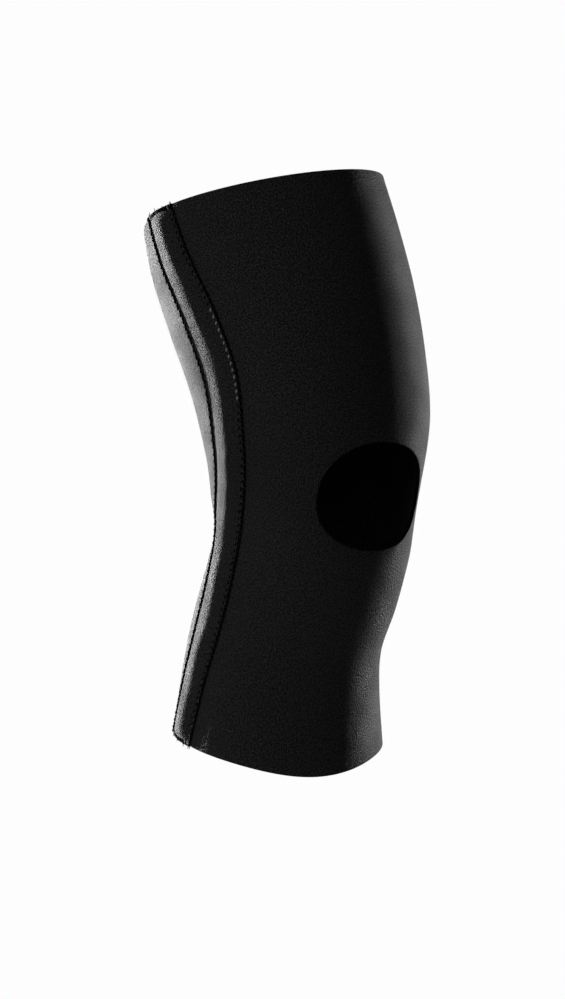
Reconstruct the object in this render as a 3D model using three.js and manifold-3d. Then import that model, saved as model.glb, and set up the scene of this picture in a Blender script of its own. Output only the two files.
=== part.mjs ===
// A pull-on knee sleeve with an open kneecap hole, in the shape that it takes on a slightly bent right knee.
// It is sewn from a front panel and a back panel, and a padded strip covers the seam on each side.
// Millimetres, +Z up. The front of the knee faces -Y and the outer side of the leg is at -X.
// The origin is in the middle of the knee's hollow, just below the level of the kneecap hole's middle.
// A turn is an angle round the leg: 0 at the front, positive towards the inner side, 180 at the back.

import * as THREE from "three";
import { mergeVertices } from "three/addons/utils/BufferGeometryUtils.js";
import Module from "manifold-3d";

// Leg
const thighLength = 164; // middle of the knee to the top hem, along the leg
const shinLength = 140; // middle of the knee to the bottom hem, along the leg
const kneeHalfWidth = 54; // middle of the knee to the outside of the fabric, at the side
const thighLean = 17; // degrees that the thigh leans back from upright
const shinLean = 12; // degrees that the shin leans back from upright
const bendLength = 90; // stretch of the leg that the knee's bend takes
const bendRise = 8; // the middle of that bend above the middle of the knee

// Hems
const topHemDip = 12; // how much lower the top hem is at the back of the thigh
const bottomHemRise = 3; // how much higher the bottom hem is at the back of the calf
const bottomHemSlant = 5; // how much lower the bottom hem is on the outer side than on the inner side

// Fabric
const fabricThickness = 2;
const pieceGap = 0.3; // between two pieces that touch

// Kneecap hole, measured on the stretched fabric
const holeWidth = 76;
const holeHeight = 58;
const holeRise = 4; // its middle above the middle of the knee
const holeTilt = 4; // degrees that its outer side is turned up
const holePower = 2.4; // how square the hole is: 2 is an ellipse

// Side strips
const stripWidth = 25;
const stripThickness = 3.6;
const stripEndTaper = 9; // length over which the padding thins out towards each end

// The leg's outline in sections from the bottom hem (-1) past the middle of the knee (0) to the top hem (1).
// front, back, outer and inner are reaches from the leg's middle line, as shares of kneeHalfWidth.
// frontPower and backPower say how square each half is: 2 is an ellipse, and more is squarer.
// seam is where the side seams lie, as a share of the way from the front to the back round the leg.
const legSections = [
  { at: -1.0, front: 0.95, back: 1.21, outer: 1.05, inner: 1.07, frontPower: 2, backPower: 2, seam: 0.6 },
  { at: -0.75, front: 0.84, back: 1.21, outer: 1.02, inner: 0.93, frontPower: 2, backPower: 2, seam: 0.585 },
  { at: -0.58, front: 0.83, back: 1.18, outer: 1.0, inner: 0.87, frontPower: 2, backPower: 2, seam: 0.57 },
  { at: -0.4, front: 0.92, back: 1.07, outer: 0.99, inner: 0.92, frontPower: 2.1, backPower: 2, seam: 0.565 },
  { at: -0.2, front: 0.98, back: 0.95, outer: 0.99, inner: 0.95, frontPower: 2.2, backPower: 2, seam: 0.57 },
  { at: 0.0, front: 0.99, back: 1.01, outer: 1.06, inner: 0.96, frontPower: 2.4, backPower: 2, seam: 0.54 },
  { at: 0.2, front: 1.13, back: 1.02, outer: 1.08, inner: 1.15, frontPower: 2.5, backPower: 2, seam: 0.505 },
  { at: 0.4, front: 1.23, back: 1.03, outer: 1.13, inner: 1.21, frontPower: 2.4, backPower: 2, seam: 0.48 },
  { at: 0.62, front: 1.29, back: 1.18, outer: 1.2, inner: 1.24, frontPower: 2.2, backPower: 2, seam: 0.49 },
  { at: 0.82, front: 1.27, back: 1.29, outer: 1.25, inner: 1.22, frontPower: 2.1, backPower: 2, seam: 0.52 },
  { at: 1.0, front: 1.21, back: 1.3, outer: 1.24, inner: 1.2, frontPower: 2, backPower: 2, seam: 0.545 },
];

// A strip's height across its width, from the edge at the back (at -1) to the edge at the front (at 1).
// height is a share of stripThickness.
const stripProfile = [
  { at: -1.0, height: 0.3 },
  { at: -0.84, height: 0.24 },
  { at: -0.58, height: 0.84 },
  { at: -0.2, height: 1.0 },
  { at: 0.25, height: 0.86 },
  { at: 0.62, height: 0.6 },
  { at: 0.86, height: 0.28 },
  { at: 1.0, height: 0.32 },
];

// Facets
const cellsAlong = 40;
const frontCells = 26;
const backCells = 22;
const holeSides = 52;
const outlineSteps = 180;
const bendSteps = 40;

const { clamp, degToRad, lerp } = THREE.MathUtils;

// The row's value at a place between the rows of a table, on a smooth curve through them.
function smoothColumn(rows, column, at) {
  const place = clamp(at, rows[0].at, rows[rows.length - 1].at);
  const next = Math.max(1, rows.findIndex((row) => row.at >= place));
  const [low, high] = [rows[next - 1], rows[next]];
  const slope = (a, b) => (b[column] - a[column]) / (b.at - a.at);
  const before = next > 1 ? slope(rows[next - 2], high) : slope(low, high);
  const after = next < rows.length - 1 ? slope(low, rows[next + 1]) : slope(low, high);
  const span = high.at - low.at;
  const t = (place - low.at) / span;
  return (
    (2 * t ** 3 - 3 * t ** 2 + 1) * low[column] +
    (t ** 3 - 2 * t ** 2 + t) * span * before +
    (3 * t ** 2 - 2 * t ** 3) * high[column] +
    (t ** 3 - t ** 2) * span * after
  );
}

// How far the leg leans back at a height along it, in radians: from the shin's lean to the thigh's.
function leanAt(height) {
  const share = clamp((height - bendRise) / bendLength + 0.5, 0, 1);
  const eased = share - Math.sin(2 * Math.PI * share) / (2 * Math.PI);
  return degToRad(lerp(-shinLean, thighLean, eased));
}

// The leg's middle line, followed in short steps from the knee.
function middleLine(height) {
  const step = height / bendSteps;
  const spot = new THREE.Vector3();
  for (let i = 0; i < bendSteps; i++) {
    const lean = leanAt((i + 0.5) * step);
    spot.y += Math.sin(lean) * step;
    spot.z += Math.cos(lean) * step;
  }
  return spot;
}

// One cross-section of the leg: its middle, its forward direction and its outline.
const sectionsSoFar = new Map();
function sectionAt(height) {
  const key = height.toFixed(3);
  if (!sectionsSoFar.has(key)) {
    const at = height / (height < 0 ? shinLength : thighLength);
    const size = (column) => kneeHalfWidth * smoothColumn(legSections, column, at);
    const lean = leanAt(height);
    const section = {
      middle: middleLine(height),
      forward: new THREE.Vector3(0, -Math.cos(lean), Math.sin(lean)),
      front: size("front"),
      back: size("back"),
      outer: size("outer"),
      inner: size("inner"),
      frontPower: smoothColumn(legSections, "frontPower", at),
      backPower: smoothColumn(legSections, "backPower", at),
    };
    section.lengths = outlineLengths(section);
    section.girth = section.lengths[outlineSteps];
    section.seamArc = (smoothColumn(legSections, "seam", at) * section.girth) / 2;
    sectionsSoFar.set(key, section);
  }
  return sectionsSoFar.get(key);
}

// How far the outline reaches from the middle line in the direction of a turn.
function reachAt(section, turn) {
  const [across, ahead] = [Math.sin(turn), Math.cos(turn)];
  const power = lerp(section.backPower, section.frontPower, (1 + ahead) / 2);
  const side = Math.abs(across) / (across > 0 ? section.inner : section.outer);
  const depth = Math.abs(ahead) / (ahead > 0 ? section.front : section.back);
  return (side ** power + depth ** power) ** (-1 / power);
}

// Lengths round the outline from the front, at equal steps of turn.
function outlineLengths(section) {
  const lengths = [0];
  let last = [0, reachAt(section, 0)];
  for (let i = 1; i <= outlineSteps; i++) {
    const turn = (2 * Math.PI * i) / outlineSteps;
    const reach = reachAt(section, turn);
    const spot = [reach * Math.sin(turn), reach * Math.cos(turn)];
    lengths.push(lengths[i - 1] + Math.hypot(spot[0] - last[0], spot[1] - last[1]));
    last = spot;
  }
  return lengths;
}

// The turn that lies a given length round the outline from the front.
function turnAt(section, arc) {
  if (arc < 0) return turnAt(section, arc + section.girth) - 2 * Math.PI;
  const next = clamp(section.lengths.findIndex((length) => length > arc), 1, outlineSteps);
  const [low, high] = [section.lengths[next - 1], section.lengths[next]];
  return (2 * Math.PI * (next - 1 + (arc - low) / (high - low))) / outlineSteps;
}

function surfacePoint(turn, height) {
  const section = sectionAt(height);
  const reach = reachAt(section, turn);
  return section.middle
    .clone()
    .addScaledVector(section.forward, reach * Math.cos(turn))
    .add(new THREE.Vector3(reach * Math.sin(turn), 0, 0));
}

// The point that lies arc round the leg from the front, at a height along it, and raised above the fabric.
function onLeg(arc, height, raised) {
  const turn = turnAt(sectionAt(height), arc);
  const [smallTurn, smallRise] = [0.01, 0.5];
  const across = surfacePoint(turn + smallTurn, height).sub(surfacePoint(turn - smallTurn, height));
  const along = surfacePoint(turn, height + smallRise).sub(surfacePoint(turn, height - smallRise));
  return surfacePoint(turn, height).addScaledVector(across.cross(along).normalize(), raised);
}

// The height along the leg for a share of the way from the bottom hem to the top hem.
function heightBetweenHems(share, arcOf) {
  const section = sectionAt(lerp(-shinLength, thighLength, share));
  const turn = turnAt(section, arcOf(section));
  const atBack = Math.min(Math.cos(turn), 0) ** 2;
  const bottom = -shinLength + bottomHemRise * atBack + (bottomHemSlant / 2) * Math.sin(turn);
  return lerp(bottom, thighLength - topHemDip * atBack, share);
}

// The height along the leg that lies a length of fabric above another height, on the front of the leg.
function heightUpFront(height, length) {
  for (let i = 0; i < bendSteps; i++) {
    const stretch = surfacePoint(0, height + 0.5).distanceTo(surfacePoint(0, height - 0.5));
    height += length / bendSteps / stretch;
  }
  return height;
}

// A block of cells bent into place: place(across, along, out) gives the point for shares from 0 to 1.
function bentBlock(cellsAcross, place) {
  const block = new THREE.BoxGeometry(1, 1, 1, cellsAcross, cellsAlong, 1);
  return bend(block, (x, y, z) => place(x + 0.5, y + 0.5, z + 0.5));
}

function bend(geometry, place) {
  geometry.deleteAttribute("normal");
  geometry.deleteAttribute("uv");
  const bent = mergeVertices(geometry);
  const spots = bent.getAttribute("position");
  for (let i = 0; i < spots.count; i++) {
    const spot = place(spots.getX(i), spots.getY(i), spots.getZ(i));
    spots.setXYZ(i, spot.x, spot.y, spot.z);
  }
  return bent;
}

// A panel of fabric between two lengths round the leg, which follow the seams.
function panel(cellsAcross, arcFrom, arcTo) {
  return bentBlock(cellsAcross, (across, along, out) => {
    const arcOf = (section) => lerp(arcFrom(section), arcTo(section), across);
    const height = heightBetweenHems(along, arcOf);
    return onLeg(arcOf(sectionAt(height)), height, (out - 1) * fabricThickness);
  });
}

// The plug of space that the kneecap hole takes out of the front panel.
function holeCutter() {
  const reach = 5 * fabricThickness;
  const plug = new THREE.CylinderGeometry(0.5, 0.5, 2 * reach, holeSides);
  const middle = new THREE.Vector2();
  return bend(plug, (x, y, z) => {
    const squared = (Math.abs(x) ** holePower + Math.abs(z) ** holePower) ** (1 / holePower) || 1;
    const fuller = Math.hypot(x, z) / squared;
    const spot = new THREE.Vector2(fuller * x * holeWidth, -fuller * z * holeHeight);
    spot.rotateAround(middle, degToRad(-holeTilt));
    return onLeg(spot.x, heightUpFront(holeRise, spot.y), y);
  });
}

// A padded strip over the seam on one side: side is -1 on the outer side and 1 on the inner side.
function sideStrip(side) {
  const turned = stripProfile.map((row) => ({ at: side * -row.at, height: row.height }));
  const rows = side < 0 ? turned : turned.reverse();
  const edge = stripProfile[0].height;
  const cells = rows.length - 1;
  return bentBlock(cells, (across, along, out) => {
    const { at, height } = rows[Math.round(across * cells)];
    const arcOf = (section) => side * section.seamArc + (at * stripWidth) / 2;
    const level = heightBetweenHems(along, arcOf);
    const fromEnd = Math.min(along, 1 - along) * (shinLength + thighLength);
    const filled = Math.sin((clamp(fromEnd / stripEndTaper, 0, 1) * Math.PI) / 2);
    const thickness = stripThickness * lerp(Math.min(edge, height), height, filled);
    return onLeg(arcOf(sectionAt(level)), level, pieceGap + out * thickness);
  });
}

const wasm = await Module();
wasm.setup();

function solid(geometry) {
  const merged = mergeVertices(geometry);
  const vertProperties = Float32Array.from(merged.getAttribute("position").array);
  const triVerts = Uint32Array.from(merged.index.array);
  return new wasm.Manifold(new wasm.Mesh({ numProp: 3, vertProperties, triVerts }));
}

function cut(geometry, cutter) {
  const mesh = solid(geometry).subtract(solid(cutter)).getMesh();
  const left = new THREE.BufferGeometry();
  left.setAttribute("position", new THREE.BufferAttribute(mesh.vertProperties, 3));
  left.setIndex(new THREE.BufferAttribute(mesh.triVerts, 1));
  return left;
}

const sleeve = new THREE.Group();
function add(name, geometry, material) {
  const mesh = new THREE.Mesh(geometry, material);
  mesh.name = name;
  sleeve.add(mesh);
}

const knit = new THREE.MeshStandardMaterial({ color: 0x151515, roughness: 0.75, metalness: 0 });
const paddedKnit = new THREE.MeshStandardMaterial({ color: 0x1c1c1c, roughness: 0.8, metalness: 0 });

const halfGap = pieceGap / 2;
const frontPanel = panel(
  frontCells,
  (section) => halfGap - section.seamArc,
  (section) => section.seamArc - halfGap,
);
const backPanel = panel(
  backCells,
  (section) => section.seamArc + halfGap,
  (section) => section.girth - section.seamArc - halfGap,
);

add("front_panel", cut(frontPanel, holeCutter()), knit);
add("back_panel", backPanel, knit);
add("outer_side_strip", sideStrip(-1), paddedKnit);
add("inner_side_strip", sideStrip(1), paddedKnit);

export default sleeve;
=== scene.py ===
import math
import random
from collections import namedtuple

import bmesh
import bpy
import numpy as np
from bpy.props import FloatProperty, FloatVectorProperty, IntProperty, PointerProperty
from mathutils import Matrix, Vector, noise


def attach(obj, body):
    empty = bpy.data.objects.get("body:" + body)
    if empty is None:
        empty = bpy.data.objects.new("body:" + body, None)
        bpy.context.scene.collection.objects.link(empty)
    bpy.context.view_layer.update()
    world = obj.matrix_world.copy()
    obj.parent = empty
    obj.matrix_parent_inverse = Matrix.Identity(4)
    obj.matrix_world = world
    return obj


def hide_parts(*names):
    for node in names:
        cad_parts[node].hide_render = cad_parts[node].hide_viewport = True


bl_info = {
    "name": "Knee sleeve",
    "version": (1, 0, 0),
    "blender": (4, 5, 0),
    "location": "View3D > Sidebar > Knee sleeve",
    "description": "Builds a worn knit knee sleeve with an open kneecap hole and padded side strips",
    "category": "Add Mesh",
}

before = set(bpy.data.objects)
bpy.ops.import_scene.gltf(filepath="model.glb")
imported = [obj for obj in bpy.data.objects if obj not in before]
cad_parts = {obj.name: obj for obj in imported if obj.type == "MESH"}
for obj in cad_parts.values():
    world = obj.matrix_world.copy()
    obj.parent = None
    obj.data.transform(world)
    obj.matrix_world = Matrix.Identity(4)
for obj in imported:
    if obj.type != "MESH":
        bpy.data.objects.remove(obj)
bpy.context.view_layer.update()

MM = 0.001

BOTTOM_HEM_WAVES = 3  # how often the bottom hem waves on its way round

# Fineness of the meshes, in cells across and along each piece
FRONT_CELLS = (110, 165)
BACK_CELLS = (90, 165)
STRIP_CELLS = (34, 300)

# The leg's outline in sections from the bottom hem (-1) past the middle of the knee (0) to the top hem (1).
# front, back, outer and inner are reaches from the leg's middle line, as shares of knee_half_width.
# front_power and back_power say how square each half is: 2 is an ellipse, and more is squarer.
# seam is where the side seams lie, as a share of the way from the front to the back round the leg.
SECTION_COLUMNS = ("at", "front", "back", "outer", "inner", "front_power", "back_power", "seam")
LEG_SECTIONS = (
    (-1.0, 0.95, 1.21, 1.05, 1.07, 2, 2, 0.6),
    (-0.75, 0.84, 1.21, 1.02, 0.93, 2, 2, 0.585),
    (-0.58, 0.83, 1.18, 1.0, 0.87, 2, 2, 0.57),
    (-0.4, 0.92, 1.07, 0.99, 0.92, 2.1, 2, 0.565),
    (-0.2, 0.98, 0.95, 0.99, 0.95, 2.2, 2, 0.57),
    (0.0, 0.99, 1.01, 1.06, 0.96, 2.4, 2, 0.54),
    (0.2, 1.13, 1.02, 1.08, 1.15, 2.5, 2, 0.505),
    (0.4, 1.23, 1.03, 1.13, 1.21, 2.4, 2, 0.48),
    (0.62, 1.29, 1.18, 1.2, 1.24, 2.2, 2, 0.49),
    (0.82, 1.27, 1.29, 1.25, 1.22, 2.1, 2, 0.52),
    (1.0, 1.21, 1.3, 1.24, 1.2, 2, 2, 0.545),
)

# A strip's height across its width, from the edge at the back (at -1) to the edge at the front (at 1),
# as a share of its thickness. One thread lies in the groove by the back edge, and wide-set stitches in the
# one by the front edge.
PROFILE_COLUMNS = ("at", "height")
STRIP_PROFILE = (
    (-1.0, 0.22),
    (-0.93, 0.16),
    (-0.86, 0.22),
    (-0.7, 0.44),
    (-0.45, 0.68),
    (-0.2, 0.87),
    (0.0, 0.98),
    (0.15, 1.0),
    (0.3, 0.92),
    (0.5, 0.7),
    (0.66, 0.5),
    (0.78, 0.36),
    (0.86, 0.3),
    (0.94, 0.34),
    (1.0, 0.24),
)


def as_columns(names, rows):
    """A table's rows as one array for each named column."""
    return {name: np.array(values, float) for name, values in zip(names, zip(*rows))}


def smooth_column(table, name, at):
    """The values at places between the rows of a table, on a smooth curve through them."""
    places, values = table["at"], table[name]
    slopes = np.empty_like(values)
    slopes[1:-1] = (values[2:] - values[:-2]) / (places[2:] - places[:-2])
    slopes[0] = (values[1] - values[0]) / (places[1] - places[0])
    slopes[-1] = (values[-1] - values[-2]) / (places[-1] - places[-2])
    at = np.clip(at, places[0], places[-1])
    low = np.clip(np.searchsorted(places, at) - 1, 0, len(places) - 2)
    span = places[low + 1] - places[low]
    t = (at - places[low]) / span
    return (
        (2 * t**3 - 3 * t**2 + 1) * values[low]
        + (t**3 - 2 * t**2 + t) * span * slopes[low]
        + (3 * t**2 - 2 * t**3) * values[low + 1]
        + (t**3 - t**2) * span * slopes[low + 1]
    )


def lerp(low, high, share):
    return low + (high - low) * share


class Leg:
    """The outside of the worn fabric. arc is a length round it from the front, positive to the inner side,
    height goes along the leg's middle line, and up_front is a length of fabric up its front.
    """

    LEVELS = 640
    PAST_HEMS = 1.2  # where the levels end, against the lengths to the hems
    TURNS = 1440  # steps over two whole turns

    def __init__(self, size):
        self.size = size
        low, high = -self.PAST_HEMS * size.shin_length, self.PAST_HEMS * size.thigh_length
        self.levels = np.linspace(low, high, self.LEVELS)
        at = self.levels / np.where(self.levels < 0, size.shin_length, size.thigh_length)
        table = as_columns(SECTION_COLUMNS, LEG_SECTIONS)
        self.columns = {name: smooth_column(table, name, at) for name in SECTION_COLUMNS[1:]}
        for name in ("front", "back", "outer", "inner"):
            self.columns[name] = self.columns[name] * size.knee_half_width
        share = np.clip((self.levels - size.bend_rise) / size.bend_length + 0.5, 0, 1)
        eased = share - np.sin(2 * np.pi * share) / (2 * np.pi)
        self.lean = lerp(-size.shin_lean, size.thigh_lean, eased)
        self.middle_y = self.along_levels(np.sin(self.lean))
        self.middle_z = self.along_levels(np.cos(self.lean))
        self.turns = np.linspace(-2 * np.pi, 2 * np.pi, self.TURNS + 1)
        reach = self.reach(self.turns[None, :], self.levels[:, None])
        steps = np.hypot(np.diff(reach * np.sin(self.turns)), np.diff(reach * np.cos(self.turns)))
        arcs = np.concatenate([np.zeros((self.LEVELS, 1)), np.cumsum(steps, axis=1)], axis=1)
        arcs -= arcs[:, self.TURNS // 2][:, None]
        self.girths = arcs[:, -1]
        shares = np.linspace(-1, 1, self.TURNS + 1)
        self.turn_of = np.array([np.interp(shares * g, a, self.turns) for g, a in zip(self.girths, arcs)])
        front = self.surface(np.zeros(self.LEVELS), self.levels)
        steps = np.linalg.norm(np.diff(front, axis=0), axis=1)
        lengths = np.concatenate([[0], np.cumsum(steps)])
        self.front_lengths = lengths - np.interp(0, self.levels, lengths)

    def along_levels(self, slopes):
        """The sum of small steps along the levels, from the middle of the knee."""
        step = self.levels[1] - self.levels[0]
        total = np.concatenate([[0], np.cumsum((slopes[1:] + slopes[:-1]) / 2) * step])
        return total - np.interp(0, self.levels, total)

    def column(self, name, height):
        return np.interp(height, self.levels, self.columns[name])

    def girth(self, height):
        return np.interp(height, self.levels, self.girths)

    def seam_arc(self, height):
        return self.column("seam", height) * self.girth(height) / 2

    def up_front(self, height):
        return np.interp(height, self.levels, self.front_lengths)

    def height_of(self, up_front):
        return np.interp(up_front, self.front_lengths, self.levels)

    def reach(self, turn, height):
        """How far the outline reaches from the middle line in the direction of a turn."""
        across, ahead = np.sin(turn), np.cos(turn)
        front_power = self.column("front_power", height)
        power = lerp(self.column("back_power", height), front_power, (1 + ahead) / 2)
        side = np.where(across > 0, self.column("inner", height), self.column("outer", height))
        depth = np.where(ahead > 0, self.column("front", height), self.column("back", height))
        return ((np.abs(across) / side) ** power + (np.abs(ahead) / depth) ** power) ** (-1 / power)

    def turn(self, arc, height):
        """The turn that lies a given length round the outline from the front."""
        row = np.interp(height, self.levels, np.arange(self.LEVELS))
        place = (arc / self.girth(height) + 1) / 2 * self.TURNS
        low_row = np.clip(row.astype(int), 0, self.LEVELS - 2)
        low_place = np.clip(place.astype(int), 0, self.TURNS - 1)
        at_row, at_place = row - low_row, place - low_place

        def along_row(chosen):
            return lerp(self.turn_of[chosen, low_place], self.turn_of[chosen, low_place + 1], at_place)

        return lerp(along_row(low_row), along_row(low_row + 1), at_row)

    def surface(self, turn, height):
        lean = np.interp(height, self.levels, self.lean)
        reach = self.reach(turn, height)
        ahead = reach * np.cos(turn)
        y = np.interp(height, self.levels, self.middle_y) - np.cos(lean) * ahead
        z = np.interp(height, self.levels, self.middle_z) + np.sin(lean) * ahead
        return np.stack([reach * np.sin(turn), y, z], axis=-1)

    def axes(self, arc, height):
        """A point on the leg with the directions round it, up it and out of it."""
        small_turn, small_rise = 0.01, 0.5 * MM
        turn = self.turn(arc, height)
        around = self.surface(turn + small_turn, height) - self.surface(turn - small_turn, height)
        along = self.surface(turn, height + small_rise) - self.surface(turn, height - small_rise)
        out = np.cross(around, along)
        out /= np.linalg.norm(out, axis=-1, keepdims=True)
        around /= np.linalg.norm(around, axis=-1, keepdims=True)
        return self.surface(turn, height), around, np.cross(out, around), out

    def between_hems(self, share, arc_of):
        """The arcs and heights for shares of the way from the bottom hem to the top hem."""
        size = self.size
        level = lerp(-size.shin_length, size.thigh_length, share)
        turn = self.turn(arc_of(level), level)
        at_back = np.minimum(np.cos(turn), 0) ** 2
        bottom = -size.shin_length + size.bottom_hem_rise * at_back
        bottom = bottom + size.bottom_hem_slant / 2 * np.sin(turn)
        bottom = bottom - size.bottom_hem_wave * np.cos(BOTTOM_HEM_WAVES * (turn + size.bottom_hem_low))
        height = lerp(bottom, size.thigh_length - size.top_hem_dip * at_back, share)
        return arc_of(height), height

    def place(self, arc, height, raised):
        """The matrix that sets something on the fabric: its X goes round the leg, Y up and Z out."""
        found = self.axes(np.array([arc]), np.array([height]))
        spot, around, up, out = (np.asarray(each).reshape(3) for each in found)
        matrix = Matrix([around, up, out]).transposed().to_4x4()
        matrix.translation = Vector(spot + raised * out)
        return matrix


# Lay flat cloth on the leg

def coordinates(bm):
    return np.array([v.co[:] for v in bm.verts], float)


def set_coordinates(bm, spots):
    for vertex, spot in zip(bm.verts, spots):
        vertex.co = spot


def lay_on_leg(bm, leg):
    """Bends cloth that lies flat onto the leg. Flat, X is the arc, Y the length up the front and Z how far
    it is raised. The UV map keeps the flat place of each corner, in metres, for the knit.
    """
    flat = coordinates(bm)
    uv = bm.loops.layers.uv.new("knit")
    for face in bm.faces:
        for loop in face.loops:
            loop[uv].uv = loop.vert.co.xy
    spots, _, _, out = leg.axes(flat[:, 0], leg.height_of(flat[:, 1]))
    set_coordinates(bm, spots + out * flat[:, 2:3])


def face_outwards(bm, leg):
    """Gives an open cloth's faces one direction, away from the leg's middle."""
    bmesh.ops.recalc_face_normals(bm, faces=bm.faces[:])
    bm.normal_update()
    away = 0.0
    for face in bm.faces:
        middle = face.calc_center_median()
        y = float(np.interp(middle.z, leg.middle_z, leg.middle_y))
        away += face.normal.dot(middle - Vector((0, y, middle.z)))
    if away < 0:
        bmesh.ops.reverse_faces(bm, faces=bm.faces[:])


def finished(bm, name, materials):
    """The bmesh as an object that rides with the sleeve."""
    mesh = bpy.data.meshes.new(name)
    for face in bm.faces:
        face.smooth = True
    bm.to_mesh(mesh)
    bm.free()
    for material in materials:
        mesh.materials.append(material)
    piece = bpy.data.objects.new(name, mesh)
    bpy.context.scene.collection.objects.link(piece)
    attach(piece, "root")
    return piece


def share_grid(cells_across, cells_along):
    """A flat grid whose X and Y go from 0 to 1."""
    bm = bmesh.new()
    bmesh.ops.create_grid(
        bm,
        x_segments=cells_across,
        y_segments=cells_along,
        size=0.5,
        matrix=Matrix.Translation((0.5, 0.5, 0)),
    )
    return bm


def panel_cloth(leg, cells, arc_from, arc_to, window=None):
    """A panel laid flat, between two lengths round the leg that follow the seams. window is a box of
    shares, from its lowest to its highest corner, that is left out of the grid. Its rim is given back too.
    """
    bm = share_grid(*cells)
    border = {e for e in bm.edges if e.is_boundary}
    if window:
        low, high = window
        middles = [(f, f.calc_center_median()) for f in bm.faces]
        inside = [f for f, m in middles if low[0] < m.x < high[0] and low[1] < m.y < high[1]]
        bmesh.ops.delete(bm, geom=inside, context="FACES")
    rim = [e for e in bm.edges if e.is_boundary and e not in border]
    shares = coordinates(bm)

    def arc_of(height):
        return lerp(arc_from(height), arc_to(height), shares[:, 0])

    arc, height = leg.between_hems(shares[:, 1], arc_of)
    set_coordinates(bm, np.stack([arc, leg.up_front(height), np.zeros(len(arc))], axis=-1))
    return bm, rim


def wall(piece, size):
    """Gives a panel the fabric's thickness inwards, with slightly rounded cut edges."""
    solidify = piece.modifiers.new("Fabric", "SOLIDIFY")
    solidify.thickness = size.fabric_thickness
    solidify.offset = -1
    solidify.use_even_offset = True
    solidify.material_offset_rim = 1
    bevel = piece.modifiers.new("Cut edge", "BEVEL")
    bevel.width = size.cut_edge_round
    bevel.segments = 2
    bevel.limit_method = "ANGLE"
    bevel.angle_limit = math.radians(60)


# Kneecap hole

def hole_outline(spot, leg):
    """The point on the kneecap hole's outline that lies in the direction of a flat spot."""
    size = leg.size
    middle = Vector((-size.hole_shift, float(leg.up_front(size.hole_rise)), 0))
    tilt = Matrix.Rotation(-size.hole_tilt, 3, "Z")
    away = tilt.inverted() @ (spot - middle)
    x, y = abs(away.x) * 2 / size.hole_width, abs(away.y) * 2 / size.hole_height
    reach = (x**size.hole_power + y**size.hole_power) ** (1 / size.hole_power)
    return middle + tilt @ (away / reach)


def hole_window(leg):
    """The box of shares of the front panel's grid that the rings round the kneecap hole take."""
    size = leg.size
    half_wide = (size.hole_width / 2 + size.hole_margin) / (2 * float(leg.seam_arc(size.hole_rise)))
    whole = size.shin_length + size.thigh_length
    half_high = (size.hole_height / 2 + size.hole_margin) / whole
    middle = (size.shin_length + size.hole_rise) / whole
    return (0.5 - half_wide, middle - half_high), (0.5 + half_wide, middle + half_high)


def narrow_to_hole(bm, rim, leg):
    """Fills the window of the front panel with rings of faces that narrow to the kneecap hole's outline."""
    size = leg.size
    for left in range(size.hole_rings, 0, -1):
        made = bmesh.ops.extrude_edge_only(bm, edges=rim)["geom"]
        rim = [e for e in made if isinstance(e, bmesh.types.BMEdge) and e.is_boundary]
        for vertex in {v for e in rim for v in e.verts}:
            target = hole_outline(vertex.co, leg)
            vertex.co = target + (vertex.co - target) * (left - 1) / left


# Side strips

# The padding swells and sinks softly between the strip's edges, and the wide-set stitches pinch it.
RIPPLE_DEPTH = 0.16
RIPPLE_ACROSS = 0.9  # how quickly the swelling changes across the strip
PINCH_DEPTH = 0.1
PINCH_AT = 0.8
PINCH_WIDTH = 0.09


def strip_thickness(leg, at, share, up):
    """How thick the padding is at places across a strip. share is how far up the strip they lie, and up
    the length up the front.
    """
    size = leg.size
    table = as_columns(PROFILE_COLUMNS, STRIP_PROFILE)
    height = smooth_column(table, "height", at)
    edge = table["height"][0]
    from_end = np.minimum(share, 1 - share) * (size.shin_length + size.thigh_length)
    filled = np.sin(np.clip(from_end / size.strip_end_taper, 0, 1) * np.pi / 2)
    spots = [Vector((a * RIPPLE_ACROSS, u / size.strip_ripple, 0)) for a, u in zip(at, up)]
    soft = np.array([noise.noise(spot) for spot in spots])
    ripple = 1 + RIPPLE_DEPTH * soft * np.clip(1 - np.abs(at), 0, 1)
    pinch = 0.5 + 0.5 * np.cos(2 * np.pi * up / size.front_stitch_pitch)
    near_front_groove = np.exp(-(((at - PINCH_AT) / PINCH_WIDTH) ** 2))
    height = height * ripple - PINCH_DEPTH * pinch * near_front_groove
    return size.strip_thickness * lerp(np.minimum(edge, height), height, filled)


def strip_arc(leg, side, at):
    """Where a place across a strip lies round the leg, at any height. at is -1 at the back edge."""
    def arc_of(height):
        return side * (leg.seam_arc(height) - at * leg.size.strip_width / 2)

    return arc_of


# The lower corner of a strip's back edge is rounded off, by shares of the strip's half width and length.
CORNER_FROM = 0.75
CORNER_REACH = 0.03
CORNER_RISE = 0.008


def strip_pad(leg, side):
    """A padded strip, laid flat: its base, with its rounded top pulled out of it."""
    size = leg.size
    bm = share_grid(*STRIP_CELLS)
    top = bmesh.ops.extrude_face_region(bm, geom=bm.faces[:], use_keep_orig=True)["geom"]
    raised = {v for v in top if isinstance(v, bmesh.types.BMVert)}
    is_top = np.array([v in raised for v in bm.verts])
    shares = coordinates(bm)
    at = 2 * shares[:, 0] - 1
    corner = np.clip((-at - CORNER_FROM) / (1 - CORNER_FROM), 0, 1)
    near_bottom = np.clip(1 - shares[:, 1] / CORNER_REACH, 0, 1)
    share = shares[:, 1] + CORNER_RISE * near_bottom * (1 - np.sqrt(1 - corner**2))
    arc, height = leg.between_hems(share, strip_arc(leg, side, at))
    up = leg.up_front(height)
    thickness = strip_thickness(leg, at, share, up)
    lift = size.piece_gap + np.where(is_top, thickness, 0)
    set_coordinates(bm, np.stack([arc, up, lift], axis=-1))
    return bm


# Threads

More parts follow.
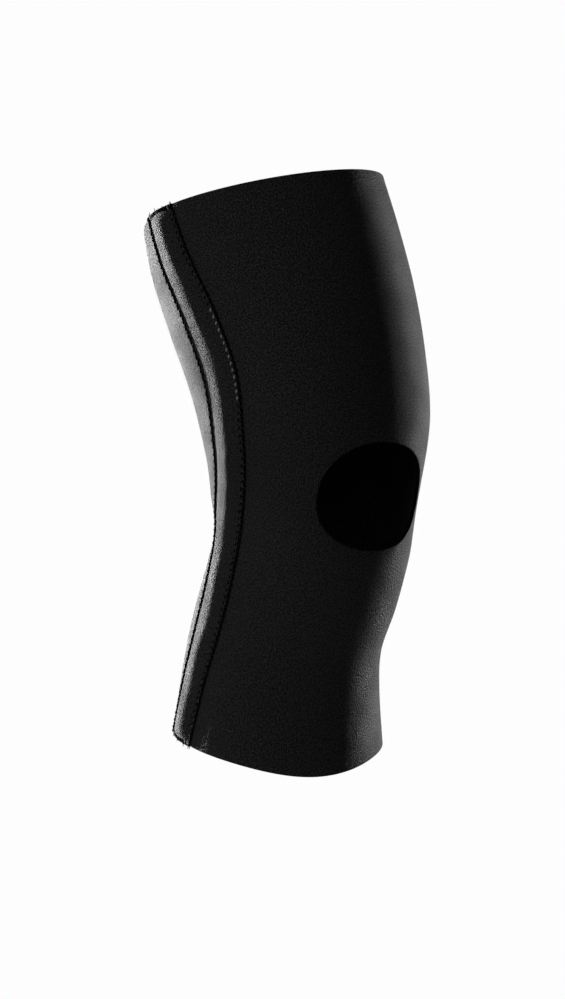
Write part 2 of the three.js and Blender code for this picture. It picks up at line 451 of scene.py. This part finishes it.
def add_stitch(bm, place, long, wide, high, turned=0.0, thread=0):
    """One stitch: a short plump length of thread whose ends dive into the fabric. thread is the number of
    its material.
    """
    size = Matrix.Diagonal((wide / 2, long / 2, high / 2, 1))
    matrix = place @ Matrix.Rotation(turned, 4, "Z") @ size
    made = bmesh.ops.create_uvsphere(bm, u_segments=8, v_segments=6, radius=1, matrix=matrix)
    for face in {f for v in made["verts"] for f in v.link_faces}:
        face.material_index = thread


def strip_spots(leg, side, at, pitch, inset):
    """Places along a strip, a pitch apart, at one place across it. They keep an inset from its ends."""
    size = leg.size
    whole = size.shin_length + size.thigh_length
    shares = np.linspace(inset / whole, 1 - inset / whole, int((whole - 2 * inset) / pitch))
    arc, height = leg.between_hems(shares, strip_arc(leg, side, np.full(len(shares), at)))
    thickness = strip_thickness(leg, np.full(len(shares), at), shares, leg.up_front(height))
    return [leg.place(a, h, size.piece_gap + t) for a, h, t in zip(arc, height, thickness)]


# The rows of stitches along a strip. at is the row's place across the strip, long a stitch's length and wide
# its width in widths of the thread. lean is its turn in radians, and zigzag how far every other one steps
# aside. The row has the first of its threads between the shares first and last of the way up, and any second
# thread elsewhere. In the front row the first is light grey, a painted glint where the stitches catch the
# light.
StitchRow = namedtuple("StitchRow", "at long wide lean zigzag first last threads")
# The black thread is the thread's own black with painted shade: darker than black thread, for the shade in
# the grooves it lies in.
BACK_ROW = StitchRow(-1.05, 2.8 * MM, 3.0, 0.4, 0.3 * MM, 0, 1, ("black_thread_painted_shade",))
EDGE_ROW = StitchRow(0.98, 2.2 * MM, 1.8, -0.3, 0.22 * MM, 0, 1, ("black_thread_painted_shade",))
# The front row's light grey stitches are a painted glint, where the stitches catch the light.
FRONT_ROW = StitchRow(0.84, 2.5 * MM, 1.9, 0.55, 0.0, 0.635, 0.8, ("painted_glint_thread", "black_thread_painted_shade"))

ROW_INSET = 1.5 * MM  # between a row's ends and the hems
STITCH_SHIFT = (0.06 * MM, 0.1 * MM)  # how unevenly stitches lie across and along their row
STITCH_TURN = 0.08  # how unevenly they lean, in radians
STITCH_LONG = (0.9, 1.08)  # the shortest and the longest, against their row's length
STITCH_HEIGHT = 0.8  # a stitch's height over its width


def thread_line(leg, side, row, pitch, seed):
    """A row of like stitches along a strip."""
    draw = random.Random(seed)
    bm = bmesh.new()
    wide = row.wide * leg.size.thread_width
    places = strip_spots(leg, side, row.at, pitch, ROW_INSET)
    for i, place in enumerate(places):
        share = i / (len(places) - 1)
        # Between first and last a stitch takes the row's first thread, in the front row the painted glint.
        thread = 0 if row.first <= share <= row.last else 1
        across = row.zigzag * (-1) ** i + draw.gauss(0, STITCH_SHIFT[0])
        step = Matrix.Translation((across, draw.gauss(0, STITCH_SHIFT[1]), 0))
        turned = side * (row.lean + draw.gauss(0, STITCH_TURN))
        long = row.long * draw.uniform(*STITCH_LONG)
        add_stitch(bm, place @ step, long, wide, STITCH_HEIGHT * wide, turned, thread)
    return bm


BARTACK_SPAN = 0.96  # how far it reaches to each side of the strip, as a share of its half width
BARTACK_TURN = 0.2  # the zigzag's turn, in radians
BARTACK_UNEVEN = 0.12  # how unevenly its stitches turn
BARTACK_LONG = (0.92, 1.06)  # its shortest and longest stitch, against its length
BARTACK_WIDE = 1.2  # a stitch's width, in widths of the thread
BARTACK_HIGH = 1.5  # a dark stitch's height. One painted with a glint is one more width of the thread high.
BARTACK_GLINTS = 0.1  # the share of its stitches in the light grey thread, as painted glints
BARTACK_SEED = 10

# The loose thread ends at a bartack
LOOSE_ENDS = (-0.98, -0.9, -0.3, 0.4, 0.9, 1.0)  # their places across the strip
LOOSE_LONG = (0.5, 1.0)  # the shortest and the longest, as shares of loose_end_length
LOOSE_PAST_HEM = 0.3  # how far a loose end's middle is past the hem, as a share of its length
LOOSE_TURN = 0.5  # how unevenly they turn aside, in radians
LOOSE_TIP = (-0.3, 0.2)  # how far they tip towards the leg or away from it, in radians
LOOSE_RADII = (0.5, 0.2)  # at the foot and at the point, in widths of the thread


def bartack(leg, side, top, seed):
    """The dense zigzag of thread that closes a strip's end, with a few loose thread ends."""
    size = leg.size
    draw = random.Random(seed)
    bm = bmesh.new()
    whole = size.shin_length + size.thigh_length
    count = int(size.strip_width / size.bartack_pitch)
    from_hem = size.bartack_length / 2 / whole
    share = np.array([1 - from_hem if top else from_hem])
    for i in range(count):
        at = np.array([lerp(-BARTACK_SPAN, BARTACK_SPAN, i / (count - 1))])
        arc, height = leg.between_hems(share, strip_arc(leg, side, at))
        thickness = strip_thickness(leg, at, share, leg.up_front(height))
        place = leg.place(arc[0], height[0], size.piece_gap + thickness[0])
        turned = draw.gauss(0.0, BARTACK_UNEVEN) + (BARTACK_TURN if i % 2 else -BARTACK_TURN)
        long = size.bartack_length * draw.uniform(*BARTACK_LONG)
        # A few stitches take the light grey thread, as painted glints on the bartack.
        light = int(draw.random() < BARTACK_GLINTS)
        wide, high = BARTACK_WIDE * size.thread_width, (BARTACK_HIGH + light) * size.thread_width
        add_stitch(bm, place, long, wide, high, turned, light)
    upright = Matrix.Rotation(-math.pi / 2 if top else math.pi / 2, 4, "X")
    for at in LOOSE_ENDS:
        arc, height = leg.between_hems(np.array([float(top)]), strip_arc(leg, side, np.array([at])))
        place = leg.place(arc[0], height[0], size.piece_gap + size.loose_end_raised)
        long = size.loose_end_length * draw.uniform(*LOOSE_LONG)
        aside = Matrix.Rotation(draw.gauss(0, LOOSE_TURN), 4, "Z")
        tipped = Matrix.Rotation(draw.uniform(*LOOSE_TIP), 4, "X")
        past_hem = Matrix.Translation((0, 0, LOOSE_PAST_HEM * long))
        bmesh.ops.create_cone(
            bm,
            cap_ends=True,
            cap_tris=False,
            segments=5,
            radius1=LOOSE_RADII[0] * size.thread_width,
            radius2=LOOSE_RADII[1] * size.thread_width,
            depth=long,
            matrix=place @ aside @ tipped @ upright @ past_hem,
        )
    return bm


# Finishes

def linear(code):
    """An sRGB hex colour as linear red, green, blue."""
    parts = [int(code[i : i + 2], 16) / 255 for i in (1, 3, 5)]
    return [c / 12.92 if c <= 0.04045 else ((c + 0.055) / 1.055) ** 2.4 for c in parts]


def add_node(tree, kind, settings=None, **links):
    """Adds a node. settings are its own properties and its unlinked inputs, by name, or by number where
    several share a name. links are the outputs to join to its inputs.
    """
    node = tree.nodes.new(kind)
    for name, value in (settings or {}).items():
        if isinstance(name, int) or name in node.inputs:
            node.inputs[name].default_value = value
        else:
            setattr(node, name, value)
    for name, source in links.items():
        tree.links.new(source, node.inputs[name.replace("_", " ")])
    return node


def new_material(name):
    material = bpy.data.materials.new(name)
    material.use_nodes = True
    material.node_tree.nodes.clear()
    return material, material.node_tree


# The knit's pattern, in millimetres. The real loops are about 0.35 mm across, too fine to show, so the rows
# and columns of loops and the grain of yarn ends are drawn two to three times as coarse.
GRAIN_PER_MM = 1.0
UNEVEN_PER_MM = 0.05  # broad patches where the knit is a little rougher or smoother
WAVE_FOR_MM = 0.314  # the scale that sets a wave texture's bands 1 mm apart
WALE_STRAY, COURSE_STRAY = 0.6, 0.8  # how far the columns and the rows of loops are from straight
GRAIN_STRENGTH = 4.0  # against the rows of loops
FULL_SHADE, FULL_LIGHT = 1.6, 2.9  # where that pattern reaches the darker and the lighter colour
LOOP_DENT = -0.8  # how the gaps between loops dent the surface, against that pattern
KNIT_RELIEF = 0.45 * MM
KNIT_GLOSS = 0.2
KNIT_SHEEN = 0.05
UNEVEN_ROUGHNESS = 0.06


def knit_material(name, shade, light, wale, course, roughness):
    """Fine stretch knit of nylon over foam, warp knitted. It is matt black with a fine grain of loops that
    catches the light at the edges. wale and course are its loops' spacings in millimetres, as drawn.
    """
    material, tree = new_material(name)
    spot = add_node(tree, "ShaderNodeUVMap", {"uv_map": "knit"})
    mapping = add_node(tree, "ShaderNodeMapping", {"Scale": (1 / MM, 1 / MM, 1)}, Vector=spot.outputs["UV"])
    in_mm = mapping.outputs["Vector"]
    grain = add_node(
        tree, "ShaderNodeTexNoise", {"Scale": GRAIN_PER_MM, "Detail": 1.0, "Roughness": 0.7}, Vector=in_mm
    )
    gaps = add_node(tree, "ShaderNodeTexVoronoi", {"Scale": 1 / wale, "Randomness": 0.85}, Vector=in_mm)
    patches = add_node(tree, "ShaderNodeTexNoise", {"Scale": UNEVEN_PER_MM, "Detail": 2.0}, Vector=in_mm)
    loops = add_node(tree, "ShaderNodeMath", {"operation": "MULTIPLY"})
    lines = (("X", wale, WALE_STRAY), ("Y", course, COURSE_STRAY))
    for i, (axis, spacing, stray) in enumerate(lines):
        bands = add_node(
            tree,
            "ShaderNodeTexWave",
            {
                "bands_direction": axis,
                "Scale": WAVE_FOR_MM / spacing,
                "Distortion": stray,
                "Detail": 1.0,
                "Detail Scale": 2.0,
            },
            Vector=in_mm,
        )
        tree.links.new(bands.outputs["Fac"], loops.inputs[i])
    speckle = add_node(tree, "ShaderNodeMath", {"operation": "MULTIPLY_ADD", 1: GRAIN_STRENGTH})
    tree.links.new(grain.outputs["Fac"], speckle.inputs[0])
    tree.links.new(loops.outputs["Value"], speckle.inputs[2])
    share = add_node(
        tree,
        "ShaderNodeMapRange",
        {"From Min": FULL_SHADE, "From Max": FULL_LIGHT, "To Min": 0.0, "To Max": 1.0},
        Value=speckle.outputs["Value"],
    )
    mixed = add_node(tree, "ShaderNodeMix", {"data_type": "RGBA"}, Factor=share.outputs["Result"])
    ends = {"A": shade, "B": light}
    for socket in mixed.inputs:
        if socket.type == "RGBA":
            socket.default_value = (*ends[socket.name], 1)
    base_colour = next(socket for socket in mixed.outputs if socket.type == "RGBA")
    height = add_node(tree, "ShaderNodeMath", {"operation": "MULTIPLY_ADD", 1: LOOP_DENT})
    tree.links.new(gaps.outputs["Distance"], height.inputs[0])
    tree.links.new(speckle.outputs["Value"], height.inputs[2])
    bump = add_node(
        tree, "ShaderNodeBump", {"Strength": 1.0, "Distance": KNIT_RELIEF}, Height=height.outputs["Value"]
    )
    rough = add_node(
        tree,
        "ShaderNodeMapRange",
        {
            "From Min": 0.3,
            "From Max": 0.7,
            "To Min": roughness - UNEVEN_ROUGHNESS,
            "To Max": roughness + UNEVEN_ROUGHNESS,
        },
        Value=patches.outputs["Fac"],
    )
    shader = add_node(
        tree,
        "ShaderNodeBsdfPrincipled",
        {
            "Specular IOR Level": KNIT_GLOSS,
            "Sheen Weight": KNIT_SHEEN,
            "Sheen Roughness": 0.35,
            "Sheen Tint": (0.9, 0.92, 0.95, 1),
        },
        Base_Color=base_colour,
        Roughness=rough.outputs["Result"],
        Normal=bump.outputs["Normal"],
    )
    add_node(tree, "ShaderNodeOutputMaterial", Surface=shader.outputs["BSDF"])
    return material


def plain_material(name, base_colour, roughness, gloss, per_mm, detail, strength, relief):
    """One colour with a fine bumpy grain on it. per_mm is how many grains a millimetre takes."""
    material, tree = new_material(name)
    spot = add_node(tree, "ShaderNodeTexCoord")
    grain = add_node(
        tree, "ShaderNodeTexNoise", {"Scale": per_mm / MM, "Detail": detail}, Vector=spot.outputs["Object"]
    )
    bump = add_node(
        tree, "ShaderNodeBump", {"Strength": strength, "Distance": relief}, Height=grain.outputs["Fac"]
    )
    shader = add_node(
        tree,
        "ShaderNodeBsdfPrincipled",
        {"Base Color": (*base_colour, 1), "Roughness": roughness, "Specular IOR Level": gloss},
        Normal=bump.outputs["Normal"],
    )
    add_node(tree, "ShaderNodeOutputMaterial", Surface=shader.outputs["BSDF"])
    return material


def cut_edge_material(base_colour):
    """The laminate's raw-cut edge: dark open-cell foam, whose small pores take all gloss off it. The pores
    are about 0.3 mm wide, and are drawn twice as wide to show.
    """
    return plain_material(
        "cut_laminate_edge",
        base_colour,
        roughness=0.95,
        gloss=0.1,
        per_mm=1.5,
        detail=2.0,
        strength=0.6,
        relief=0.2 * MM,
    )


def thread_material(name, base_colour, roughness, gloss):
    """Twisted polyester sewing thread: its filaments give it a slight gloss along each stitch, and its
    twist comes round about twice in a millimetre.
    """
    return plain_material(
        name, base_colour, roughness, gloss, per_mm=2.2, detail=1.0, strength=0.7, relief=0.08 * MM
    )


_finishes = {}


def finish(name):
    """Each finish of the sleeve, made when it is first used."""
    colours = bpy.context.scene.sleeve_colours
    makers = {
        "panel_knit": lambda: knit_material(
            "stretch_knit", colours.knit_dark, colours.knit_light, wale=0.9, course=0.75, roughness=0.7
        ),
        # The strips' face is brushed, so its loops look coarser and take the light more softly.
        "strip_knit": lambda: knit_material(
            "brushed_strip_knit",
            colours.strip_dark,
            colours.strip_light,
            wale=1.0,
            course=0.9,
            roughness=0.75,
        ),
        "cut_edge": lambda: cut_edge_material(colours.cut_edge),
        # Black thread with painted shade: darker than the thread, for the shade in its grooves.
        "black_thread_painted_shade": lambda: thread_material(
            "black_polyester_thread_painted_shade", colours.black_thread_painted_shade, roughness=0.85, gloss=0.1
        ),
        # Painted glint: light grey for the stitches where the thread catches the light.
        "painted_glint_thread": lambda: thread_material(
            "polyester_thread_painted_glint", colours.painted_glint_thread, roughness=0.5, gloss=0.4
        ),
    }
    if name not in _finishes:
        _finishes[name] = makers[name]()
    return _finishes[name]


# What a user can change

def length(name, description, default):
    return FloatProperty(
        name=name, description=description, default=default, min=0.0, unit="LENGTH", precision=5
    )


def angle(name, description, degrees):
    return FloatProperty(
        name=name, description=description, default=math.radians(degrees), subtype="ANGLE"
    )


def colour(name, description, code):
    return FloatVectorProperty(
        name=name, description=description, default=linear(code), subtype="COLOR", size=3, min=0, max=1
    )


class SleeveSizes(bpy.types.PropertyGroup):
    thigh_length: length("Thigh length", "Middle of the knee to the top hem, along the leg", 0.164)
    shin_length: length("Shin length", "Middle of the knee to the bottom hem, along the leg", 0.140)
    knee_half_width: length("Knee half width", "Middle of the knee to the outside of the fabric", 0.054)
    thigh_lean: angle("Thigh lean", "How far the thigh leans back from upright", 17)
    shin_lean: angle("Shin lean", "How far the shin leans back from upright", 12)
    bend_length: length("Bend length", "Stretch of the leg that the knee's bend takes", 0.090)
    bend_rise: length("Bend rise", "The middle of the bend above the middle of the knee", 0.008)
    top_hem_dip: length("Top hem dip", "How much lower the top hem is at the back", 0.012)
    bottom_hem_rise: length("Bottom hem rise", "How much higher the bottom hem is at the back", 0.003)
    bottom_hem_slant: length("Bottom hem slant", "How much lower the bottom hem is on the outer side", 0.005)
    bottom_hem_wave: length("Bottom hem wave", "How far the bottom hem waves up and down", 0.0018)
    bottom_hem_low: angle("Bottom hem low", "Where a wave is lowest, from the front to the outer side", 17)
    fabric_thickness: length("Fabric thickness", "The laminate of the panels", 0.002)
    cut_edge_round: length("Cut edge rounding", "Rounding of the raw-cut edges", 0.0003)
    piece_gap: length("Piece gap", "Room between two pieces that touch", 0.0003)
    hole_width: length("Hole width", "Kneecap hole, on the stretched fabric", 0.0755)
    hole_height: length("Hole height", "Kneecap hole, on the stretched fabric", 0.0588)
    hole_shift: length("Hole shift", "The hole's middle to the outer side of the fabric's front", 0.0015)
    hole_rise: length("Hole rise", "The hole's middle above the middle of the knee", 0.004)
    hole_tilt: angle("Hole tilt", "How far the hole's outer side is turned up", 4)
    hole_power: FloatProperty(
        name="Hole squareness", description="2 is an ellipse, and more is squarer", default=2.25
    )
    hole_margin: length("Hole margin", "Width of the rings of faces round the hole", 0.016)
    hole_rings: IntProperty(
        name="Hole rings", description="Rings of faces round the hole", default=9, min=1
    )
    strip_width: length("Strip width", "Across a side strip", 0.025)
    strip_thickness: length("Strip thickness", "A side strip's padding at its highest", 0.0036)
    strip_end_taper: length("Strip end taper", "Length over which the padding thins out at an end", 0.009)
    strip_ripple: length("Strip ripple", "Length of the soft waves along a strip", 0.022)
    front_stitch_pitch: length("Front stitch pitch", "Between the stitches in a strip's groove", 0.0037)
    back_stitch_pitch: length("Back stitch pitch", "Between the stitches at a strip's back edge", 0.0020)
    edge_stitch_pitch: length("Edge stitch pitch", "Between the stitches at a strip's front edge", 0.0018)
    bartack_pitch: length("Bartack pitch", "Between the stitches that close a strip's end", 0.0007)
    bartack_length: length("Bartack length", "The stitches that close a strip's end", 0.0034)
    thread_width: length("Thread width", "Across a sewing thread, as thick as it needs to show", 0.0006)
    loose_end_length: length("Loose end length", "The longest loose thread end", 0.0030)
    loose_end_raised: length("Loose end raised", "A loose end above the foot of its strip", 0.0004)
    knit_stretch: FloatProperty(
        name="Knit stretch", description="Worn width over the width it was cut to", default=1.15, min=1
    )


class SleeveColours(bpy.types.PropertyGroup):
    knit_dark: colour("Knit shade", "Between the loops of the panels' knit", "#141415")
    knit_light: colour("Knit light", "The loops of the panels' knit", "#525254")
    strip_dark: colour("Strip shade", "Between the loops of the strips' knit", "#1a1a1b")
    strip_light: colour("Strip light", "The loops of the strips' knit", "#525254")
    cut_edge: colour("Cut edge", "The laminate's core at the hems and the hole", "#060606")
    # Black thread with painted shade: darker than the thread, for the shade in the grooves it lies in.
    black_thread_painted_shade: colour("Dark thread", "The thread behind the strips and at their ends", "#030303")
    # A painted glint, for the stitches that catch the light.
    painted_glint_thread: colour("Painted glint thread", "The light stitches in front of the strips", "#a8a8a8")
    floor: colour("Floor", "The pale studio floor", "#fdfdfd")


def current_leg():
    return Leg(bpy.context.scene.sleeve_sizes)


def declare_cloth(leg):
    """Works out the length up the front that a panel was cut to, and the leg's girths between the hems, and
    keeps neither. A panel is cut narrower than it is worn, by the knit's stretch.
    """
    size = leg.size
    length_cut = float(leg.up_front(size.thigh_length) - leg.up_front(-size.shin_length))
    girths = leg.girth(np.linspace(-size.shin_length, size.thigh_length))


class SLEEVE_OT_front_panel(bpy.types.Operator):
    """Adds the front panel with the open kneecap hole"""

    bl_idname = "knee_sleeve.front_panel"
    bl_label = "Front panel"

    def execute(self, context):
        leg = current_leg()
        half_gap = leg.size.piece_gap / 2
        bm, rim = panel_cloth(
            leg,
            FRONT_CELLS,
            lambda height: half_gap - leg.seam_arc(height),
            lambda height: leg.seam_arc(height) - half_gap,
            hole_window(leg),
        )
        narrow_to_hole(bm, rim, leg)
        lay_on_leg(bm, leg)
        face_outwards(bm, leg)
        piece = finished(bm, "front_panel_cloth", (finish("panel_knit"), finish("cut_edge")))
        wall(piece, leg.size)
        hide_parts("front_panel")
        declare_cloth(leg)
        return {"FINISHED"}


class SLEEVE_OT_back_panel(bpy.types.Operator):
    """Adds the back panel"""

    bl_idname = "knee_sleeve.back_panel"
    bl_label = "Back panel"

    def execute(self, context):
        leg = current_leg()
        half_gap = leg.size.piece_gap / 2
        bm, _ = panel_cloth(
            leg,
            BACK_CELLS,
            lambda height: leg.seam_arc(height) + half_gap,
            lambda height: leg.girth(height) - leg.seam_arc(height) - half_gap,
        )
        lay_on_leg(bm, leg)
        face_outwards(bm, leg)
        piece = finished(bm, "back_panel_cloth", (finish("panel_knit"), finish("cut_edge")))
        wall(piece, leg.size)
        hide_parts("back_panel")
        declare_cloth(leg)
        return {"FINISHED"}


SIDES = (("outer", -1), ("inner", 1))


class SLEEVE_OT_side_strips(bpy.types.Operator):
    """Adds the padded strips over the side seams"""

    bl_idname = "knee_sleeve.side_strips"
    bl_label = "Side strips"

    def execute(self, context):
        leg = current_leg()
        for name, side in SIDES:
            bm = strip_pad(leg, side)
            lay_on_leg(bm, leg)
            bmesh.ops.recalc_face_normals(bm, faces=bm.faces[:])
            piece = finished(bm, f"{name}_strip_pad", (finish("strip_knit"),))
            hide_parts(f"{name}_side_strip")
        return {"FINISHED"}


class SLEEVE_OT_strip_threads(bpy.types.Operator):
    """Adds the stitch lines along both edges of each strip"""

    bl_idname = "knee_sleeve.strip_threads"
    bl_label = "Strip threads"

    def execute(self, context):
        leg = current_leg()
        size = leg.size
        rows = (
            ("back_thread", BACK_ROW, size.back_stitch_pitch),
            ("front_edge_thread", EDGE_ROW, size.edge_stitch_pitch),
            ("front_stitches", FRONT_ROW, size.front_stitch_pitch),
        )
        for side_seed, (name, side) in enumerate(SIDES):
            for i, (row_name, row, pitch) in enumerate(rows):
                bm = thread_line(leg, side, row, pitch, side_seed + 2 * i)
                finished(bm, f"{name}_strip_{row_name}", [finish(thread) for thread in row.threads])
        return {"FINISHED"}


class SLEEVE_OT_bartacks(bpy.types.Operator):
    """Adds the thread that closes the strips' ends"""

    bl_idname = "knee_sleeve.bartacks"
    bl_label = "Bartacks"

    def execute(self, context):
        leg = current_leg()
        for seed, (name, side) in enumerate(SIDES):
            for end, top in (("top", True), ("bottom", False)):
                bm = bartack(leg, side, top, BARTACK_SEED + 2 * seed + top)
                finished(bm, f"{name}_strip_{end}_bartack", (finish("black_thread_painted_shade"), finish("painted_glint_thread")))
        return {"FINISHED"}


# Studio

CAMERA_AZIMUTH = math.radians(-40)
CAMERA_ELEVATION = math.radians(6.5)
CAMERA_DISTANCE = 3.0
CAMERA_TARGET = Vector((-0.0132, 0.0123, -0.0024))
CAMERA_LENS = 200  # in millimetres, like the sensor's width
CAMERA_SENSOR = 36
SIGHT_LIMIT = 200.0  # in metres

FLOOR_LEVEL = -0.45
FLOOR_HALF_WIDTH = 40.0
FLOOR_BOUNCE = 0.15  # how much light the floor sends back to the sleeve
AIR_ON_SLEEVE = 0.025  # how brightly the air lights the sleeve
AIR_IN_SIGHT = 1.0  # how bright it looks behind the sleeve

# The soft boxes round the sleeve. azimuth and elevation are in degrees, power in watts.
Softbox = namedtuple("Softbox", "name azimuth elevation distance width height power")
SOFTBOXES = (
    Softbox("rim_left", -180, -4, 1.6, 0.4, 1.8, 128),
    Softbox("rim_right", 98, -22, 1.6, 0.5, 1.8, 76),
    Softbox("front_fill", -82, 15, 2.2, 1.0, 1.2, 8.5),
)
LIGHTS_TARGET = Vector((0, 0.02, 0.01))


def direction(azimuth, elevation):
    """From the sleeve towards something. Azimuth 0 is in front, and positive goes to the inner side."""
    flat = math.cos(elevation)
    return Vector((math.sin(azimuth) * flat, -math.cos(azimuth) * flat, math.sin(elevation)))


def aim(obj, place, target):
    obj.location = place
    obj.rotation_euler = (target - place).to_track_quat("-Z", "Y").to_euler()


def add_softbox(box):
    light = bpy.data.lights.new(box.name, "AREA")
    light.shape = "RECTANGLE"
    light.size, light.size_y = box.width, box.height
    light.energy = box.power
    lamp = bpy.data.objects.new(box.name, light)
    lamp.visible_camera = False
    bpy.context.scene.collection.objects.link(lamp)
    away = direction(math.radians(box.azimuth), math.radians(box.elevation))
    aim(lamp, away * box.distance, LIGHTS_TARGET)


def floor_material(shade):
    """Matt pale vinyl studio floor, lit apart from the sleeve so that it shows evenly pale."""
    material, tree = new_material("matt_studio_floor")
    matt = add_node(tree, "ShaderNodeBsdfDiffuse", {"Color": (FLOOR_BOUNCE, FLOOR_BOUNCE, FLOOR_BOUNCE, 1)})
    lit = add_node(tree, "ShaderNodeEmission", {"Color": (*shade, 1), "Strength": 1.0})
    sight = add_node(tree, "ShaderNodeLightPath")
    mixed = add_node(tree, "ShaderNodeMixShader", Fac=sight.outputs["Is Camera Ray"])
    tree.links.new(matt.outputs["BSDF"], mixed.inputs[1])
    tree.links.new(lit.outputs["Emission"], mixed.inputs[2])
    add_node(tree, "ShaderNodeOutputMaterial", Surface=mixed.outputs["Shader"])
    return material


def add_floor(shade):
    bm = bmesh.new()
    level = Matrix.Translation((0, 0, FLOOR_LEVEL))
    bmesh.ops.create_grid(bm, x_segments=1, y_segments=1, size=FLOOR_HALF_WIDTH, matrix=level)
    mesh = bpy.data.meshes.new("studio_floor")
    bm.to_mesh(mesh)
    bm.free()
    mesh.materials.append(floor_material(shade))
    floor = bpy.data.objects.new("studio_floor", mesh)
    bpy.context.scene.collection.objects.link(floor)


def add_air():
    """The studio's pale air, which lights the sleeve only faintly."""
    world = bpy.data.worlds.new("studio_air")
    world.use_nodes = True
    air = world.node_tree
    air.nodes.clear()
    sight = add_node(air, "ShaderNodeLightPath")
    strength = add_node(
        air,
        "ShaderNodeMapRange",
        {"To Min": AIR_ON_SLEEVE, "To Max": AIR_IN_SIGHT},
        Value=sight.outputs["Is Camera Ray"],
    )
    glow = add_node(
        air, "ShaderNodeBackground", {"Color": (1, 1, 1, 1)}, Strength=strength.outputs["Result"]
    )
    add_node(air, "ShaderNodeOutputWorld", Surface=glow.outputs["Background"])
    bpy.context.scene.world = world


def add_camera():
    camera_data = bpy.data.cameras.new("camera")
    camera_data.lens = CAMERA_LENS
    camera_data.sensor_width = CAMERA_SENSOR
    camera_data.clip_end = SIGHT_LIMIT
    camera = bpy.data.objects.new("camera", camera_data)
    bpy.context.scene.collection.objects.link(camera)
    away = direction(CAMERA_AZIMUTH, CAMERA_ELEVATION)
    aim(camera, CAMERA_TARGET + away * CAMERA_DISTANCE, CAMERA_TARGET)
    bpy.context.scene.camera = camera


class SLEEVE_OT_stage(bpy.types.Operator):
    """Adds the floor, the studio lights and the camera"""

    bl_idname = "knee_sleeve.stage"
    bl_label = "Studio"

    def execute(self, context):
        add_floor(context.scene.sleeve_colours.floor)
        for box in SOFTBOXES:
            add_softbox(box)
        add_air()
        context.scene.view_settings.view_transform = "Standard"
        add_camera()
        return {"FINISHED"}


OPERATORS = (
    SLEEVE_OT_front_panel,
    SLEEVE_OT_back_panel,
    SLEEVE_OT_side_strips,
    SLEEVE_OT_strip_threads,
    SLEEVE_OT_bartacks,
    SLEEVE_OT_stage,
)


class VIEW3D_PT_knee_sleeve(bpy.types.Panel):
    """Lists the steps that build the sleeve"""

    bl_label = "Knee sleeve"
    bl_space_type = "VIEW_3D"
    bl_region_type = "UI"
    bl_category = "Knee sleeve"

    def draw(self, context):
        for step in OPERATORS:
            self.layout.operator(step.bl_idname)
        for group in (context.scene.sleeve_sizes, context.scene.sleeve_colours):
            for name in group.__annotations__:
                self.layout.prop(group, name)


CLASSES = (SleeveSizes, SleeveColours, *OPERATORS, VIEW3D_PT_knee_sleeve)


def register():
    for each in CLASSES:
        bpy.utils.register_class(each)
    bpy.types.Scene.sleeve_sizes = PointerProperty(type=SleeveSizes)
    bpy.types.Scene.sleeve_colours = PointerProperty(type=SleeveColours)


def unregister():
    del bpy.types.Scene.sleeve_colours
    del bpy.types.Scene.sleeve_sizes
    for each in reversed(CLASSES):
        bpy.utils.unregister_class(each)


def main():
    register()
    for step in OPERATORS:
        group, name = step.bl_idname.split(".")
        getattr(getattr(bpy.ops, group), name)()


if __name__ == "__main__":
    main()
